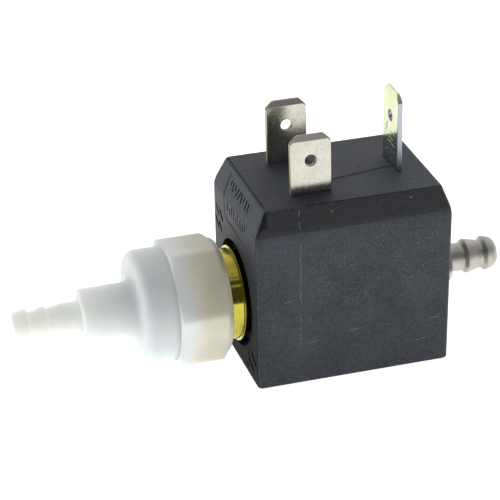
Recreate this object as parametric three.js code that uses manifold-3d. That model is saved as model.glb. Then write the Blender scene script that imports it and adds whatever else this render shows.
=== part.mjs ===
// An inline solenoid valve: a moulded coil block with three blade terminals, and a flow path that
// runs straight through it along X, from the plastic inlet barb (-X) to the steel outlet barb (+X).
// Millimetres, +Z up. The origin is the middle of the coil block's underside.
import * as THREE from 'three';
import { mergeVertices } from 'three/addons/utils/BufferGeometryUtils.js';
import Module from 'manifold-3d';

const wasm = await Module();
wasm.setup();

// ---- Driving dimensions -------------------------------------------------------------------------

const AXIS_HEIGHT = 11.1; // flow axis above the underside
const ROUND = 32; // facets round a turned piece
const SEAM = 0.1; // space left between two pieces that butt together
const SLACK = 0.15; // space left round a piece that is moulded in

const HOUSING = {
  length: 30.6,
  width: 22,
  height: 29,
  cornerRadius: 0.5,
  bandHeight: 3.8, // the top edge is drawn in over this height
  bandInlet: 1.7,
  bandOutlet: 1.4,
  bandSide: 1,
  recessRadius: 8.25, // round recess in the inlet end
  recessDepth: 1.8,
  inletBore: 4.9,
  outletBore: 2.5,
};
const END_FACE = HOUSING.length / 2;
const RECESS_FLOOR = -END_FACE + HOUSING.recessDepth;

const YOKE = { end: 12.2, plate: 1.5, halfWidth: 5.5, halfHeight: 9.7, bore: 4.7 };
const YOKE_INSIDE = YOKE.end - YOKE.plate;

const BOBBIN = { bore: 4.75, hub: 5.3, flange: 7.9, flangeThick: 1.1 };
const BOBBIN_END = YOKE_INSIDE - SEAM;
const WINDING = { inner: 5.35, outer: 7.45, halfLength: BOBBIN_END - BOBBIN.flangeThick - SEAM };
const TAPE = { inner: 7.5, outer: 7.65 };

// Blade terminals: 6.3 x 0.8 mm tabs on slightly thinner roots.
const TAB = {
  width: 6.3,
  thick: 0.8,
  rootThick: 0.7,
  holeRadius: 0.9,
  corner: 1.1,
  tipThick: 0.4,
  tipTaper: 0.9,
};
const BLADE_START = HOUSING.height + 0.05; // the full thickness begins clear of the block's top
const LINE_TABS = [
  { name: 'terminal_line', x: -5.2, y: -5.8, length: 9.15 },
  { name: 'terminal_neutral', x: -5.2, y: 5.65, length: 9.85 },
];
const LINE_TAB_ROOT = 22.4;
const LINE_TAB_LEAN = 3; // degrees that the blades of the line tabs lean back, towards +Y
const LINE_HOLE_DROP = 4; // tab tip to hole centre
const EARTH_TAB = { x: 9.6, y: -0.1, length: 12.1, holeDrop: 4.3, footReach: 4, footHeight: 20.95 };

const CARRIER = { x: [-9.6, 0.6], y: [-7.2, 7.1], z: [21.7, 24.7] };
const RIVET = { x: 7.4, shank: 0.9, hole: 1, head: 1.6, headHeight: 0.6, bottom: 19.4 };
const LEAD = { radius: 0.22, x: -5.2, side: 6.6, start: 15.25 };

// Turned flow-path pieces, all positions along X.
const SLEEVE = {
  mouth: -21.2, // front of the threaded neck
  neck: 6.6,
  collarStart: -17.8,
  collar: 7.15,
  lipStart: -15.95,
  lip: 7.3,
  collarEnd: -15.6,
  shoulder: 6.4, // bears on the floor of the recess
  tube: 4.55,
  end: 12,
  bore: 3.95,
  grooveInner: 4.6,
  grooveOuter: 6,
  grooveDepth: 1.25,
};
const SLEEVE_RING = { major: 5.3, minor: 0.62 };

const CORE = {
  face: 2,
  radius: 3.88,
  shoulder: 12.2,
  stem: 2.2,
  bore: 1.1,
  grooveStart: 9,
  grooveEnd: 10.5,
  grooveFloor: 2.95,
  shadeInner: 2.5,
  shadeOuter: 3.2,
  shadeDepth: 1,
  barbs: [21.6, 24.8], // the steep face of each barb
  barbPeak: 2.71,
  barbRun: 2.3,
  tip: 26.7,
};
const CORE_RING = { major: 3.41, minor: 0.45 };

const PLUNGER = {
  start: -18.9,
  end: 0.4,
  radius: 3.8,
  sealPocket: 2.5,
  sealDepth: 1.8,
  springPocket: 2.3,
  springDepth: 8,
  slotWidth: 1.2,
  slotDepth: 0.8,
  slots: 4,
};
const SEAL = { radius: 2.4, proud: 0.35 };
const SPRING = { radius: 1.85, wire: 0.2, turns: 8, stepsPerTurn: 12, sides: 6 };

const HEX = {
  acrossFlats: 17.5,
  start: -26.2,
  bandEnd: -19,
  coneEnd: -18.4,
  coneRadius: 8.85,
  end: -17.9,
  endRadius: 8.15,
  turn: 20.4, // degrees that one corner leans from straight up towards -Y
  inletSocket: 6.35,
  sleeveSocket: 6.75,
  web: [-22.4, -21.4],
  webBore: 2.65,
};

const SEAT = { flange: 3.8, flangeStart: -23.3, body: 2.55, nozzle: 1.5, tip: -19.35, orifice: 0.8 };

const INLET = {
  tip: -49.5,
  noseRadius: 2,
  barbs: [-47.1, -44.4], // the steep face of each barb
  barbFoot: 1.98,
  barbPeak: 2.5,
  neckStart: -42,
  neck: 2.49,
  filterStart: -39.2,
  filter: 4.17, // the filter barrel
  chamberStart: -31.35,
  chamber: 8.7, // the wide inlet chamber
  chamberEdge: 1.25,
  fillet: 1.35,
  flangeEnd: -26.25,
  spigot: 6.2,
  end: -22.6,
  bore: 1.1,
  filterBore: 3.1,
  filterBoreStart: -38.5,
  chamberBore: 4.6,
  chamberBoreStart: -30.6,
  groove: [-24.9, -23.4],
  grooveFloor: 5.05,
};
const INLET_RING = { major: 5.7, minor: 0.58 };

const STRAINER = {
  flange: 4.4,
  flangeEnd: -29.7,
  cup: 2.8,
  wall: 0.5,
  closedEnd: -38,
  windows: 6,
  rows: [-36.4, -33.6],
  windowLength: 2.1,
  windowWidth: 1.3,
};

const LOCKNUT = { start: 15.8, end: 18.8, acrossFlats: 7, bore: 2.32, turn: 95, chamfer: 0.35 };
const LOCKWASHER = { start: 15.35, end: 15.72, inner: 2.5, outer: 4 };

// ---- Geometry helpers ---------------------------------------------------------------------------

function toSolid(geometry) {
  const bare = geometry.clone();
  bare.deleteAttribute('normal');
  bare.deleteAttribute('uv');
  const merged = mergeVertices(bare, 1e-4);
  const mesh = new wasm.Mesh({
    numProp: 3,
    vertProperties: new Float32Array(merged.attributes.position.array),
    triVerts: new Uint32Array(merged.index.array),
  });
  return new wasm.Manifold(mesh);
}

function toGeometry(solid) {
  const mesh = solid.getMesh();
  const geometry = new THREE.BufferGeometry();
  geometry.setAttribute('position', new THREE.BufferAttribute(new Float32Array(mesh.vertProperties), 3));
  geometry.setIndex(new THREE.BufferAttribute(new Uint32Array(mesh.triVerts), 1));
  geometry.computeVertexNormals();
  return geometry;
}

function cut(geometry, ...tools) {
  return toGeometry(tools.reduce((solid, tool) => solid.subtract(toSolid(tool)), toSolid(geometry)));
}

function join(geometry, ...others) {
  return toGeometry(others.reduce((solid, other) => solid.add(toSolid(other)), toSolid(geometry)));
}

function common(geometry, ...others) {
  return toGeometry(others.reduce((solid, other) => solid.intersect(toSolid(other)), toSolid(geometry)));
}

// A box given by its limits along each axis.
function box([x0, x1], [y0, y1], [z0, z1]) {
  const geometry = new THREE.BoxGeometry(x1 - x0, y1 - y0, z1 - z0);
  geometry.translate((x0 + x1) / 2, (y0 + y1) / 2, (z0 + z1) / 2);
  return geometry;
}

// A piece turned about the X axis. The outline's points are [position along X, radius], from the
// inlet end round the outside to the outlet end, then back along the bore.
function turned(outline, facets = ROUND) {
  const points = outline.map(([along, radius]) => new THREE.Vector2(radius, along));
  const closed = outline[0][1] > 0;
  if (closed) {
    points.push(points[0].clone());
  }
  const geometry = new THREE.LatheGeometry(points, facets);
  geometry.rotateZ(-Math.PI / 2);
  return geometry;
}

function rod(x0, x1, radius, facets = ROUND) {
  return turned([[x0, 0], [x0, radius], [x1, radius], [x1, 0]], facets);
}

function tube(x0, x1, inner, outer, facets = ROUND) {
  return turned([[x0, inner], [x0, outer], [x1, outer], [x1, inner]], facets);
}

function ring(x, { major, minor }) {
  const geometry = new THREE.TorusGeometry(major, minor, 8, 24);
  geometry.rotateY(Math.PI / 2);
  geometry.translate(x, 0, 0);
  return geometry;
}

// A hexagonal bar along X. One corner leans by turn degrees from +Z towards -Y.
function hexBar(x0, x1, acrossFlats, turn) {
  const corner = acrossFlats / Math.sqrt(3);
  const shape = new THREE.Shape();
  for (let i = 0; i < 6; i += 1) {
    const angle = THREE.MathUtils.degToRad(turn + 60 * i);
    const up = corner * Math.cos(angle);
    const side = -corner * Math.sin(angle);
    if (i === 0) {
      shape.moveTo(-up, side);
    } else {
      shape.lineTo(-up, side);
    }
  }
  const geometry = new THREE.ExtrudeGeometry(shape, { depth: x1 - x0, bevelEnabled: false });
  geometry.rotateY(Math.PI / 2);
  geometry.translate(x0, 0, 0);
  return geometry;
}

// A flat outline in X and Z, given thickness along Y.
function plateXZ(shape, y0, y1, curveSegments = 12) {
  const settings = { depth: y1 - y0, bevelEnabled: false, curveSegments };
  const geometry = new THREE.ExtrudeGeometry(shape, settings);
  geometry.rotateX(Math.PI / 2);
  geometry.translate(0, y1, 0);
  return geometry;
}

// A flat outline in Y and Z, given thickness along X.
function plateYZ(shape, x0, x1) {
  const geometry = new THREE.ExtrudeGeometry(shape, { depth: x1 - x0, bevelEnabled: false });
  geometry.rotateX(Math.PI / 2);
  geometry.rotateZ(Math.PI / 2);
  geometry.translate(x0, 0, 0);
  return geometry;
}

function polygon(points) {
  return new THREE.Shape(points.map(([a, b]) => new THREE.Vector2(a, b)));
}

function roundedRectangle(halfLength, halfWidth, radius) {
  const shape = new THREE.Shape();
  const inX = halfLength - radius;
  const inY = halfWidth - radius;
  shape.absarc(inX, inY, radius, 0, Math.PI / 2);
  shape.absarc(-inX, inY, radius, Math.PI / 2, Math.PI);
  shape.absarc(-inX, -inY, radius, Math.PI, Math.PI * 1.5);
  shape.absarc(inX, -inY, radius, Math.PI * 1.5, Math.PI * 2);
  return shape;
}

// Points of a circular arc in an outline, both ends included.
function arc(x, radius, size, fromDegrees, toDegrees, steps) {
  return Array.from({ length: steps + 1 }, (unused, i) => {
    const angle = THREE.MathUtils.degToRad(fromDegrees + ((toDegrees - fromDegrees) * i) / steps);
    return [x + size * Math.cos(angle), radius + size * Math.sin(angle)];
  });
}

function atAxis(geometry) {
  return geometry.clone().translate(0, 0, AXIS_HEIGHT);
}

// ---- Coil block ---------------------------------------------------------------------------------

// Everything that the moulding is cast around, a little oversize. It opens into the through bore.
function coilSpace() {
  const width = YOKE.halfWidth + SLACK;
  const height = YOKE.halfHeight + SLACK;
  const end = YOKE.end + SLACK;
  const frame = box([-end, end], [-width, width], [AXIS_HEIGHT - height, AXIS_HEIGHT + height]);
  const windings = atAxis(rod(-YOKE_INSIDE, YOKE_INSIDE, BOBBIN.flange + SLACK));
  const carrier = box(
    [CARRIER.x[0] - SLACK, CARRIER.x[1] + SLACK],
    [CARRIER.y[0] - SLACK, CARRIER.y[1] + SLACK],
    [CARRIER.z[0] - SLACK, CARRIER.z[1] + SLACK],
  );
  const leadRoom = 0.6;
  const leadX = [LEAD.x - leadRoom, LEAD.x + leadRoom];
  const leadWell = [LEAD.start - SLACK, CARRIER.z[0]];
  const frontWell = box(leadX, [-LEAD.side - leadRoom, LINE_TABS[0].y + leadRoom], leadWell);
  const rearWell = box(leadX, [LINE_TABS[1].y - leadRoom, LEAD.side + leadRoom], leadWell);
  const foot = box(
    [EARTH_TAB.x - EARTH_TAB.footReach - SLACK, EARTH_TAB.x + TAB.thick / 2 + SLACK],
    [EARTH_TAB.y - TAB.width / 2 - SLACK, EARTH_TAB.y + TAB.width / 2 + SLACK],
    [AXIS_HEIGHT + YOKE.halfHeight, EARTH_TAB.footHeight + TAB.thick + RIVET.headHeight + 2 * SLACK],
  );
  return join(frame, windings, carrier, frontWell, rearWell, foot);
}

function tabSlots() {
  const halfWidth = TAB.width / 2 + SEAM;
  const halfThick = TAB.thick / 2 + SEAM;
  const top = HOUSING.height + 1;
  const slots = LINE_TABS.map(({ x, y }) =>
    box([x - halfWidth, x + halfWidth], [y - halfThick, y + halfThick], [CARRIER.z[0], top]));
  const { x, y, footHeight } = EARTH_TAB;
  slots.push(box([x - halfThick, x + halfThick], [y - halfWidth, y + halfWidth], [footHeight, top]));
  return slots;
}

function coilHousing() {
  const { length, width, height, bandHeight, bandInlet, bandOutlet, bandSide } = HOUSING;
  const waist = height - bandHeight;
  const footprint = new THREE.ExtrudeGeometry(
    roundedRectangle(length / 2, width / 2, HOUSING.cornerRadius),
    { depth: height, bevelEnabled: false, curveSegments: 4 },
  );
  const side = plateXZ(
    polygon([
      [-END_FACE, 0],
      [END_FACE, 0],
      [END_FACE, waist],
      [END_FACE - bandOutlet, height],
      [-END_FACE + bandInlet, height],
      [-END_FACE, waist],
    ]),
    -width,
    width,
  );
  const front = plateYZ(
    polygon([
      [-width / 2, 0],
      [width / 2, 0],
      [width / 2, waist],
      [width / 2 - bandSide, height],
      [-width / 2 + bandSide, height],
      [-width / 2, waist],
    ]),
    -length,
    length,
  );
  const recess = atAxis(rod(-END_FACE - 1, RECESS_FLOOR, HOUSING.recessRadius, 48));
  const inletBore = atAxis(rod(-END_FACE, 0, HOUSING.inletBore));
  const outletBore = atAxis(rod(0, END_FACE + 1, HOUSING.outletBore));
  const block = common(footprint, side, front);
  return cut(block, recess, inletBore, outletBore, coilSpace(), ...tabSlots());
}

// A U-shaped steel frame: both end plates and the strip under the winding.
function yokeFrame() {
  const { end, plate, halfWidth, halfHeight, bore } = YOKE;
  const across = [-halfWidth, halfWidth];
  const strip = box([-end, end], across, [-halfHeight, -halfHeight + plate]);
  const inletPlate = box([-end, -end + plate], across, [-halfHeight, halfHeight]);
  const outletPlate = box([end - plate, end], across, [-halfHeight, halfHeight]);
  return cut(join(strip, inletPlate, outletPlate), rod(-end - 1, end + 1, bore));
}

// The steel strip that closes the frame above the winding, drilled for the earth rivet.
function yokeCap() {
  const reach = YOKE_INSIDE - SEAM;
  const strip = box(
    [-reach, reach],
    [-YOKE.halfWidth, YOKE.halfWidth],
    [YOKE.halfHeight - YOKE.plate, YOKE.halfHeight],
  );
  const hole = new THREE.CylinderGeometry(RIVET.hole, RIVET.hole, 6, 16);
  hole.rotateX(Math.PI / 2);
  hole.translate(RIVET.x, EARTH_TAB.y, YOKE.halfHeight);
  return cut(strip, hole);
}

function bobbin() {
  const { bore, hub, flange, flangeThick } = BOBBIN;
  const inside = BOBBIN_END - flangeThick;
  return turned([
    [-BOBBIN_END, bore],
    [-BOBBIN_END, flange],
    [-inside, flange],
    [-inside, hub],
    [inside, hub],
    [inside, flange],
    [BOBBIN_END, flange],
    [BOBBIN_END, bore],
  ]);
}

function winding() {
  return tube(-WINDING.halfLength, WINDING.halfLength, WINDING.inner, WINDING.outer);
}

function windingTape() {
  return tube(-WINDING.halfLength, WINDING.halfLength, TAPE.inner, TAPE.outer);
}

// A blade standing on the origin, width along X, with cut corners, a detent hole and a lead-in taper
// on both faces.
function tabBlade(length, holeDrop) {
  const { width, thick, holeRadius, corner, tipThick, tipTaper } = TAB;
  const half = width / 2;
  const face = polygon([
    [-half, 0],
    [half, 0],
    [half, length - corner],
    [half - corner, length],
    [-half + corner, length],
    [-half, length - corner],
  ]);
  const hole = new THREE.Path();
  hole.absarc(0, length - holeDrop, holeRadius, 0, Math.PI * 2);
  face.holes.push(hole);
  const edge = polygon([
    [-thick / 2, 0],
    [thick / 2, 0],
    [thick / 2, length - tipTaper],
    [tipThick / 2, length],
    [-tipThick / 2, length],
    [-thick / 2, length - tipTaper],
  ]);
  return common(plateXZ(face, -thick, thick), plateYZ(edge, -width, width));
}

// The part of a tab that the block holds, standing at the origin with its top just inside the blade.
function tabRoot(bottom) {
  const halfWidth = TAB.width / 2;
  const halfThick = TAB.rootThick / 2;
  return box([-halfWidth, halfWidth], [-halfThick, halfThick], [bottom, BLADE_START + 0.05]);
}

function lineTab({ x, y, length }) {
  const blade = tabBlade(length, LINE_HOLE_DROP);
  blade.rotateX(-THREE.MathUtils.degToRad(LINE_TAB_LEAN));
  blade.translate(0, 0, BLADE_START);
  const tab = join(tabRoot(LINE_TAB_ROOT), blade);
  tab.translate(x, y, 0);
  return tab;
}

// The earth tab stands across the block, and its foot lies on the yoke.
function earthTab() {
  const { x, y, length, holeDrop, footReach, footHeight } = EARTH_TAB;
  const blade = tabBlade(length, holeDrop);
  blade.translate(0, 0, BLADE_START);
  const upright = join(tabRoot(footHeight), blade);
  upright.rotateZ(Math.PI / 2);
  upright.translate(x, y, 0);
  const foot = box(
    [x - footReach, x],
    [y - TAB.width / 2, y + TAB.width / 2],
    [footHeight, footHeight + TAB.thick],
  );
  const hole = new THREE.CylinderGeometry(RIVET.hole, RIVET.hole, 4, 16);
  hole.rotateX(Math.PI / 2);
  hole.translate(RIVET.x, y, footHeight);
  return cut(join(upright, foot), hole);
}

function earthRivet() {
  const { x, shank, head, headHeight, bottom } = RIVET;
  const seat = EARTH_TAB.footHeight + TAB.thick + SEAM;
  const outline = [
    [0, bottom],
    [shank, bottom],
    [shank, seat],
    [head, seat],
    [head * 0.8, seat + headHeight],
    [0, seat + headHeight],
  ];
  const geometry = new THREE.LatheGeometry(outline.map(([r, z]) => new THREE.Vector2(r, z)), 16);
  geometry.rotateX(Math.PI / 2);
  geometry.translate(x, EARTH_TAB.y, 0);
  return geometry;
}

// The moulded block that holds the roots of the two line tabs.
function terminalCarrier() {
  const block = box(CARRIER.x, CARRIER.y, CARRIER.z);
  const slots = LINE_TABS.map(({ x, y }) =>
    box(
      [x - TAB.width / 2 - SEAM, x + TAB.width / 2 + SEAM],
      [y - TAB.thick / 2 - SEAM, y + TAB.thick / 2 + SEAM],
      [CARRIER.z[0] - 1, CARRIER.z[1] + 1],
    ));
  return cut(block, ...slots);
}

// Magnet wire from the winding to the underside of a line tab.
function lead(side, tabY) {
  const end = LINE_TAB_ROOT - SEAM;
  const turnHeight = AXIS_HEIGHT + YOKE.halfHeight + 0.5;
  const route = new THREE.CatmullRomCurve3([
    new THREE.Vector3(LEAD.x, side * LEAD.side, LEAD.start),
    new THREE.Vector3(LEAD.x, side * LEAD.side, turnHeight - 2),
    new THREE.Vector3(LEAD.x, side * LEAD.side + (tabY - side * LEAD.side) * 0.15, turnHeight - 0.5),
    new THREE.Vector3(LEAD.x, side * LEAD.side + (tabY - side * LEAD.side) * 0.75, turnHeight),
    new THREE.Vector3(LEAD.x, tabY, end),
  ]);
  const section = new THREE.Shape();
  section.absarc(0, 0, LEAD.radius, 0, Math.PI * 2);
  return new THREE.ExtrudeGeometry(section, { steps: 16, extrudePath: route, curveSegments: 8 });
}

// ---- Flow path ----------------------------------------------------------------------------------

// Outline points of one hose barb: a steep face, a small round, then a long taper to the tip side.
function barbPoints(face, towards, foot, peak, run, endRadius) {
  const lip = (peak - foot) * 0.35;
  return [
    [face, foot],
    [face, peak - lip],
    [face + towards * lip * 0.4, peak - lip * 0.3],
    [face + towards * lip, peak],
    [face + towards * run, endRadius],
  ];
}

// The brass sleeve: threaded neck, collar and the long tube that guides the plunger.
function sleeve() {
  const s = SLEEVE;
  const grooveFloor = s.mouth + s.grooveDepth;
  return turned([
    [s.mouth, s.bore],
    [s.mouth, s.grooveInner],
    [grooveFloor, s.grooveInner],
    [grooveFloor, s.grooveOuter],
    [s.mouth, s.grooveOuter],
    [s.mouth, s.neck - 0.3],
    [s.mouth + 0.3, s.neck],
    [s.collarStart, s.neck],
    [s.collarStart, s.collar],
    [s.lipStart - 0.15, s.collar],
    [s.lipStart, s.lip],
    [s.collarEnd, s.lip],
    [s.collarEnd, s.shoulder],
    [RECESS_FLOOR - SEAM, s.shoulder],
    [RECESS_FLOOR - SEAM, s.tube],
    [s.end, s.tube],
    [s.end, s.bore],
  ]);
}

// The fixed steel core: pole face inside the coil, stem through the block, outlet barb outside.
function fixedCore() {
  const c = CORE;
  const [firstBarb, secondBarb] = c.barbs;
  const noseStart = c.tip - 0.6;
  return turned([
    [c.face, c.bore],
    [c.face, c.shadeInner],
    [c.face + c.shadeDepth, c.shadeInner],
    [c.face + c.shadeDepth, c.shadeOuter],
    [c.face, c.shadeOuter],
    [c.face, c.radius],
    [c.grooveStart, c.radius],
    [c.grooveStart, c.grooveFloor],
    [c.grooveEnd, c.grooveFloor],
    [c.grooveEnd, c.radius],
    [c.shoulder, c.radius],
    [c.shoulder, c.stem],
    ...barbPoints(firstBarb, 1, c.stem, c.barbPeak, c.barbRun, c.stem),
    ...barbPoints(secondBarb, 1, c.stem, c.barbPeak, noseStart - secondBarb, c.barbPeak - 0.35),
    [c.tip - 0.18, c.stem - 0.25],
    [c.tip, c.stem - 0.7],
    [c.tip, c.bore],
  ]);
}

function shadingRing() {
  const { face, shadeInner, shadeOuter, shadeDepth } = CORE;
  const play = 0.07;
  return tube(face + play, face + shadeDepth - play, shadeInner + play, shadeOuter - play);
}

// The moving plunger: seal pocket, spring pocket, and slots down its side that let the flow past.
function plunger() {
  const p = PLUNGER;
  const body = turned([
    [p.start, p.sealPocket],
    [p.start, p.radius - 0.4],
    [p.start + 0.4, p.radius],
    [p.end - 0.2, p.radius],
    [p.end, p.radius - 0.2],
    [p.end, p.springPocket],
    [p.end - p.springDepth, p.springPocket],
    [p.end - p.springDepth, 0],
    [p.start + p.sealDepth, 0],
    [p.start + p.sealDepth, p.sealPocket],
    [p.start, p.sealPocket],
  ]);
  const slots = Array.from({ length: p.slots }, (unused, i) => {
    const floor = p.radius - p.slotDepth;
    const slot = box([p.start - 1, p.end + 1], [-p.slotWidth / 2, p.slotWidth / 2], [floor, p.radius + 1]);
    slot.rotateX((i * Math.PI * 2) / p.slots + Math.PI / p.slots);
    return slot;
  });
  return cut(body, ...slots);
}

function plungerSeal() {
  const floor = PLUNGER.start + PLUNGER.sealDepth - SEAM;
  return rod(PLUNGER.start - SEAL.proud, floor, SEAL.radius);
}

class Helix extends THREE.Curve {
  constructor(x0, x1, radius, turns) {
    super();
    Object.assign(this, { x0, x1, radius, turns });
  }

  getPoint(t) {
    const angle = t * this.turns * Math.PI * 2;
    const x = this.x0 + (this.x1 - this.x0) * t;
    return new THREE.Vector3(x, this.radius * Math.cos(angle), this.radius * Math.sin(angle));
  }
}

function returnSpring() {
  const { radius, wire, turns, stepsPerTurn, sides } = SPRING;
  const start = PLUNGER.end - PLUNGER.springDepth + wire + SEAM;
  const end = CORE.face - wire - SEAM;
  const section = new THREE.Shape();
  section.absarc(0, 0, wire, 0, Math.PI * 2);
  return new THREE.ExtrudeGeometry(section, {
    steps: turns * stepsPerTurn,
    extrudePath: new Helix(start, end, radius, turns),
    curveSegments: sides,
  });
}

// The plastic hexagonal coupling that joins the inlet fitting to the sleeve and carries the seat.
function hexCoupling() {
  const h = HEX;
  const bar = hexBar(h.start, h.end, h.acrossFlats, h.turn);
  const corner = h.acrossFlats / Math.sqrt(3) + SEAM;
  const envelope = turned([
    [h.start - 1, 0],
    [h.start - 1, corner],
    [h.bandEnd, corner],
    [h.coneEnd, h.coneRadius],
    [(h.coneEnd + h.end) / 2, (h.coneRadius + h.endRadius) / 2 + 0.12],
    [h.end, h.endRadius],
    [h.end, 0],
  ], 48);
  const inside = turned([
    [h.start - 1, 0],
    [h.start - 1, h.inletSocket],
    [h.web[0], h.inletSocket],
    [h.web[0], h.webBore],
    [h.web[1], h.webBore],
    [h.web[1], h.sleeveSocket],
    [h.end + 1, h.sleeveSocket],
    [h.end + 1, 0],
  ]);
  return cut(common(bar, envelope), inside);
}

function valveSeat() {
  const s = SEAT;
  const webFace = HEX.web[0] - SEAM;
  return turned([
    [s.flangeStart, s.orifice],
    [s.flangeStart, s.flange],
    [webFace, s.flange],
    [webFace, s.body],
    [HEX.web[1], s.body],
    [s.tip, s.nozzle],
    [s.tip, s.orifice],
  ]);
}

// The inlet fitting: hose barb, filter barrel, wide chamber, and a spigot into the coupling.
function inletFitting() {
  const f = INLET;
  const [outerBarb, innerBarb] = f.barbs;
  const filterEdge = 0.2;
  return turned([
    [f.tip, f.bore],
    [f.tip, f.noseRadius - 0.3],
    [f.tip + 0.3, f.noseRadius],
    [outerBarb - 0.2, f.barbPeak - 0.05],
    [outerBarb, f.barbPeak - 0.15],
    [outerBarb + 0.3, f.barbFoot],
    [innerBarb - 1.8, f.barbFoot],
    [innerBarb - 0.2, f.barbPeak],
    [innerBarb, f.barbPeak - 0.1],
    [innerBarb + 0.3, f.barbFoot + 0.04],
    [f.neckStart, f.neck],
    [f.filterStart, f.neck],
    [f.filterStart, f.filter - filterEdge],
    [f.filterStart + filterEdge, f.filter],
    ...arc(f.chamberStart - f.fillet, f.filter + f.fillet, f.fillet, 270, 360, 4),
    ...arc(f.chamberStart + f.chamberEdge, f.chamber - f.chamberEdge, f.chamberEdge, 180, 90, 4),
    [f.flangeEnd, f.chamber],
    [f.flangeEnd, f.spigot],
    [f.groove[0], f.spigot],
    [f.groove[0], f.grooveFloor],
    [f.groove[1], f.grooveFloor],
    [f.groove[1], f.spigot],
    [f.end, f.spigot],
    [f.end, f.chamberBore],
    [f.chamberBoreStart, f.chamberBore],
    [f.chamberBoreStart, f.filterBore],
    [f.filterBoreStart, f.filterBore],
    [f.filterBoreStart, f.bore],
  ]);
}

// A cup-shaped strainer with two rows of windows, held by its flange in the inlet chamber.
function strainer() {
  const s = STRAINER;
  const flangeStart = INLET.chamberBoreStart + SEAM;
  const cup = turned([
    [s.closedEnd, 0],
    [s.closedEnd, s.cup],
    [flangeStart, s.cup],
    [flangeStart, s.flange],
    [s.flangeEnd, s.flange],
    [s.flangeEnd, s.cup - s.wall],
    [s.closedEnd + s.wall, s.cup - s.wall],
    [s.closedEnd + s.wall, 0],
  ], 24);
  const windows = s.rows.flatMap((x) =>
    Array.from({ length: s.windows / 2 }, (unused, i) => {
      const reach = s.cup + 1;
      const half = s.windowWidth / 2;
      const slot = box([x - s.windowLength / 2, x + s.windowLength / 2], [-half, half], [-reach, reach]);
      slot.rotateX((i * Math.PI * 2) / s.windows);
      return slot;
    }));
  return cut(cup, ...windows);
}

// The small nut on the outlet stem that holds the coil block on the sleeve.
function locknut() {
  const n = LOCKNUT;
  const corner = n.acrossFlats / Math.sqrt(3);
  const envelope = turned([
    [n.start, 0],
    [n.start, corner - n.chamfer],
    [n.start + n.chamfer * 0.6, corner],
    [n.end - n.chamfer * 0.6, corner],
    [n.end, corner - n.chamfer],
    [n.end, 0],
  ]);
  const bar = hexBar(n.start, n.end, n.acrossFlats, n.turn);
  return cut(common(bar, envelope), rod(n.start - 1, n.end + 1, n.bore));
}

function lockWasher() {
  const { start, end, inner, outer } = LOCKWASHER;
  return tube(start, end, inner, outer);
}

// ---- Materials and assembly ---------------------------------------------------------------------

const FINISHES = {
  housing: [0x3c3e46, 0.62, 0],
  frame: [0x70757c, 0.5, 0.9],
  bobbin: [0x20242a, 0.6, 0],
  copper: [0xb4632f, 0.4, 0.8],
  tape: [0xd8b03a, 0.5, 0],
  tinned: [0xcfcdbf, 0.3, 1],
  zinc: [0xc9ccae, 0.25, 1],
  brass: [0xc9b13a, 0.15, 1],
  steel: [0xa8a79f, 0.35, 1],
  rubber: [0x18191b, 0.85, 0],
  coupling: [0xe0ddd2, 0.5, 0],
  inlet: [0xd5dcdc, 0.5, 0],
  mesh: [0xbfc4c6, 0.5, 0.6],
};

function piece(name, geometry, finish) {
  const [color, roughness, metalness] = FINISHES[finish];
  const mesh = new THREE.Mesh(geometry, new THREE.MeshStandardMaterial({ color, roughness, metalness }));
  mesh.name = name;
  return mesh;
}

const block = new THREE.Group();
block.add(
  piece('coil_housing', coilHousing(), 'housing'),
  ...LINE_TABS.map((tab) => piece(tab.name, lineTab(tab), 'tinned')),
  piece('terminal_earth', earthTab(), 'zinc'),
  piece('earth_rivet', earthRivet(), 'steel'),
  piece('terminal_carrier', terminalCarrier(), 'bobbin'),
  piece('lead_line', lead(-1, LINE_TABS[0].y), 'copper'),
  piece('lead_neutral', lead(1, LINE_TABS[1].y), 'copper'),
);

// Everything in this group lies on the flow axis.
const flowPath = new THREE.Group();
flowPath.position.z = AXIS_HEIGHT;
flowPath.add(
  piece('yoke_frame', yokeFrame(), 'frame'),
  piece('yoke_cap', yokeCap(), 'frame'),
  piece('bobbin', bobbin(), 'bobbin'),
  piece('winding', winding(), 'copper'),
  piece('winding_tape', windingTape(), 'tape'),
  piece('guide_sleeve', sleeve(), 'brass'),
  piece('sleeve_o_ring', ring(SLEEVE.mouth + SLEEVE_RING.minor - SEAM, SLEEVE_RING), 'rubber'),
  piece('fixed_core', fixedCore(), 'steel'),
  piece('core_o_ring', ring((CORE.grooveStart + CORE.grooveEnd) / 2, CORE_RING), 'rubber'),
  piece('shading_ring', shadingRing(), 'copper'),
  piece('plunger', plunger(), 'steel'),
  piece('plunger_seal', plungerSeal(), 'rubber'),
  piece('return_spring', returnSpring(), 'steel'),
  piece('hex_coupling', hexCoupling(), 'coupling'),
  piece('valve_seat', valveSeat(), 'steel'),
  piece('inlet_fitting', inletFitting(), 'inlet'),
  piece('inlet_o_ring', ring((INLET.groove[0] + INLET.groove[1]) / 2, INLET_RING), 'rubber'),
  piece('inlet_strainer', strainer(), 'mesh'),
  piece('locknut', locknut(), 'steel'),
  piece('lock_washer', lockWasher(), 'steel'),
);

const solenoidValve = new THREE.Group();
solenoidValve.add(block, flowPath);

export default solenoidValve;
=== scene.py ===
import math
import random

import bmesh
import bpy
from mathutils import Matrix, Vector


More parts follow.
